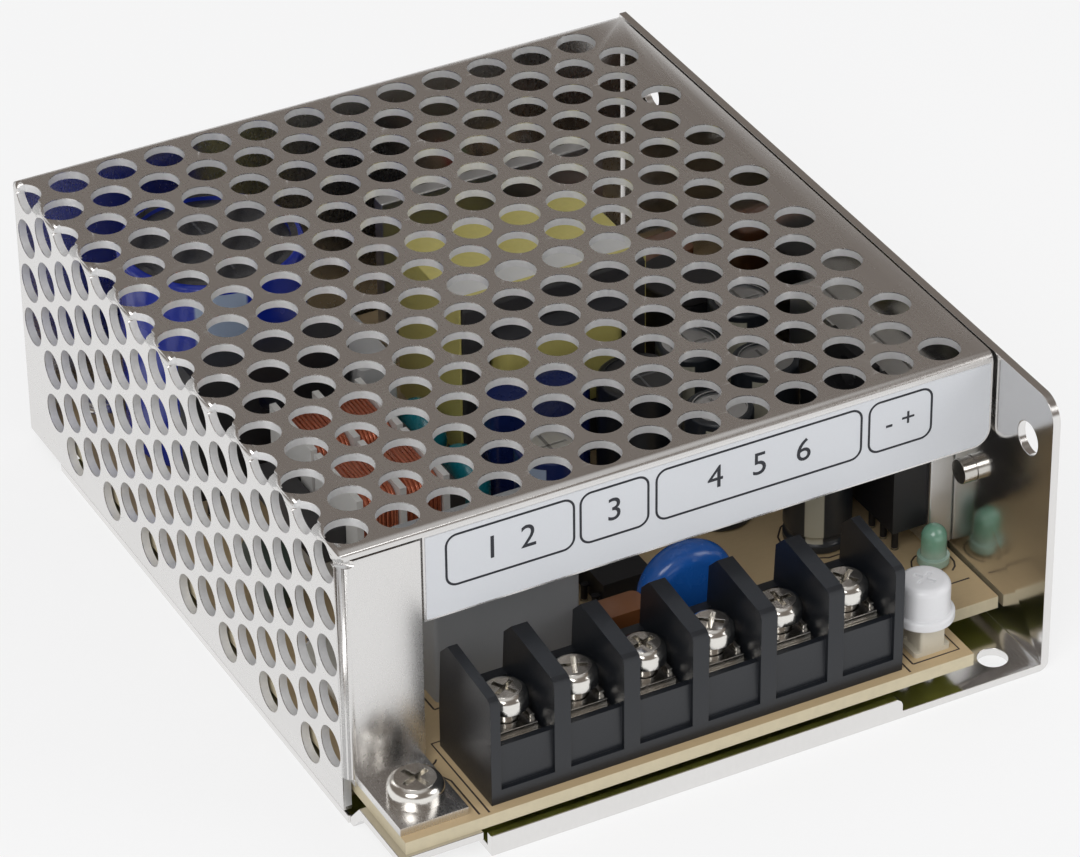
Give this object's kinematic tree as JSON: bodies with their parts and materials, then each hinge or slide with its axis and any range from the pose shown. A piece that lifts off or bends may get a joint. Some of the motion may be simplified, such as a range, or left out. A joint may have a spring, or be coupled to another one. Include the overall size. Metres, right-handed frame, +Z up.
{
  "type": "mesh case switching power supply",
  "caption": "Open-frame style switching power supply in a perforated sheet case, with a black barrier terminal block, an adjuster and an indicator lamp at the front.",
  "frame": {"origin": "bottom centre of the case's bounding box, on the underside of the base plate", "axes": "+X towards the solid wall of the base, -Y towards the terminals, +Z up through the perforated top"},
  "size_m": [0.082, 0.099, 0.036],
  "materials": {
    "base_sheet": "bright",
    "cover_sheet": "bright",
    "label": "satin",
    "screw_steel": "plated",
    "film": "satin",
    "board": "satin",
    "block_plastic": "satin",
    "contact_metal": "plated",
    "washer_metal": "plated",
    "terminal_screw_metal": "plated",
    "trimmer_body": "matte",
    "knob": "matte",
    "lamp": "gloss",
    "grey_box": "satin",
    "fuse": "satin",
    "thermistor": "matte",
    "blue_disc": "gloss",
    "teal_disc": "gloss",
    "ferrite": "matte",
    "bobbin": "satin",
    "copper": "lacquered",
    "epoxy": "matte",
    "blue_sleeve": "gloss",
    "pale_grey_box": "satin",
    "tape": "gloss",
    "bare_aluminium": "satin",
    "can": "gloss",
    "dark_can": "gloss",
    "coil_sleeve": "satin",
    "navy": "gloss",
    "brown_box": "gloss",
    "resistor": "satin",
    "white_epoxy": "matte"
  },
  "bodies": {
    "case": {"chassis": "base_sheet", "cover": "cover_sheet", "front_label": "label", "cover_screw": "screw_steel", "side_plug_screw": "screw_steel", "insulation_film": "film", "board_spacers": "screw_steel", "board_screws": "screw_steel", "circuit_board": "board", "terminal_housing": "block_plastic", "terminal_contacts": "contact_metal", "clamp_washer_1": "washer_metal", "clamp_washer_2": "washer_metal", "clamp_washer_3": "washer_metal", "clamp_washer_4": "washer_metal", "clamp_washer_5": "washer_metal", "clamp_washer_6": "washer_metal", "trimmer_body": "trimmer_body", "indicator_lamp": "lamp", "interference_capacitor": "grey_box", "fuse": "fuse", "inrush_thermistor": "thermistor", "surge_absorber": "blue_disc", "safety_capacitors": "teal_disc", "line_choke_core": "ferrite", "line_choke_bobbin": "bobbin", "line_choke_windings": "copper", "bridge_rectifier": "epoxy", "mains_capacitor": "blue_sleeve", "clamp_capacitor": "pale_grey_box", "transformer_core": "ferrite", "transformer_bobbin": "bobbin", "transformer_winding": "tape", "transformer_tape": "tape", "heat_spreader": "bare_aluminium", "output_rectifiers": "epoxy", "rear_heatsink": "bare_aluminium", "switching_transistor": "epoxy", "output_capacitors": "can", "storage_capacitor": "dark_can", "output_choke_core": "ferrite", "output_choke_winding": "coil_sleeve", "filter_capacitor": "navy", "supply_capacitor": "navy", "bypass_capacitor": "brown_box", "snubber_capacitor": "brown_box", "snubber_resistor": "resistor", "control_chip": "epoxy", "optocoupler": "white_epoxy"},
    "trimmer_knob": {"trimmer_knob": "knob"},
    "screw_1": {"terminal_screw_1": "terminal_screw_metal"},
    "screw_2": {"terminal_screw_2": "terminal_screw_metal"},
    "screw_3": {"terminal_screw_3": "terminal_screw_metal"},
    "screw_4": {"terminal_screw_4": "terminal_screw_metal"},
    "screw_5": {"terminal_screw_5": "terminal_screw_metal"},
    "screw_6": {"terminal_screw_6": "terminal_screw_metal"}
  },
  "joints": [
    {"name": "trimmer_turn", "type": "hinge", "parent": "case", "child": "trimmer_knob", "pos_m": [0.0274, -0.0443, 0.0095], "axis": [0, 0, 1], "range_deg": [-105, 105]},
    {"name": "screw_1_turn", "type": "hinge", "parent": "case", "child": "screw_1", "pos_m": [-0.02415, -0.0422, 0.0125], "axis": [0, 0, 1], "range_deg": [-1080, 1440]},
    {"name": "screw_2_turn", "type": "hinge", "parent": "case", "child": "screw_2", "pos_m": [-0.01565, -0.0422, 0.0125], "axis": [0, 0, 1], "range_deg": [-1080, 1440]},
    {"name": "screw_3_turn", "type": "hinge", "parent": "case", "child": "screw_3", "pos_m": [-0.00715, -0.0422, 0.0125], "axis": [0, 0, 1], "range_deg": [-1080, 1440]},
    {"name": "screw_4_turn", "type": "hinge", "parent": "case", "child": "screw_4", "pos_m": [0.00135, -0.0422, 0.0125], "axis": [0, 0, 1], "range_deg": [-1080, 1440]},
    {"name": "screw_5_turn", "type": "hinge", "parent": "case", "child": "screw_5", "pos_m": [0.00985, -0.0422, 0.0125], "axis": [0, 0, 1], "range_deg": [-1080, 1440]},
    {"name": "screw_6_turn", "type": "hinge", "parent": "case", "child": "screw_6", "pos_m": [0.01835, -0.0422, 0.0125], "axis": [0, 0, 1], "range_deg": [-1080, 1440]}
  ]
}
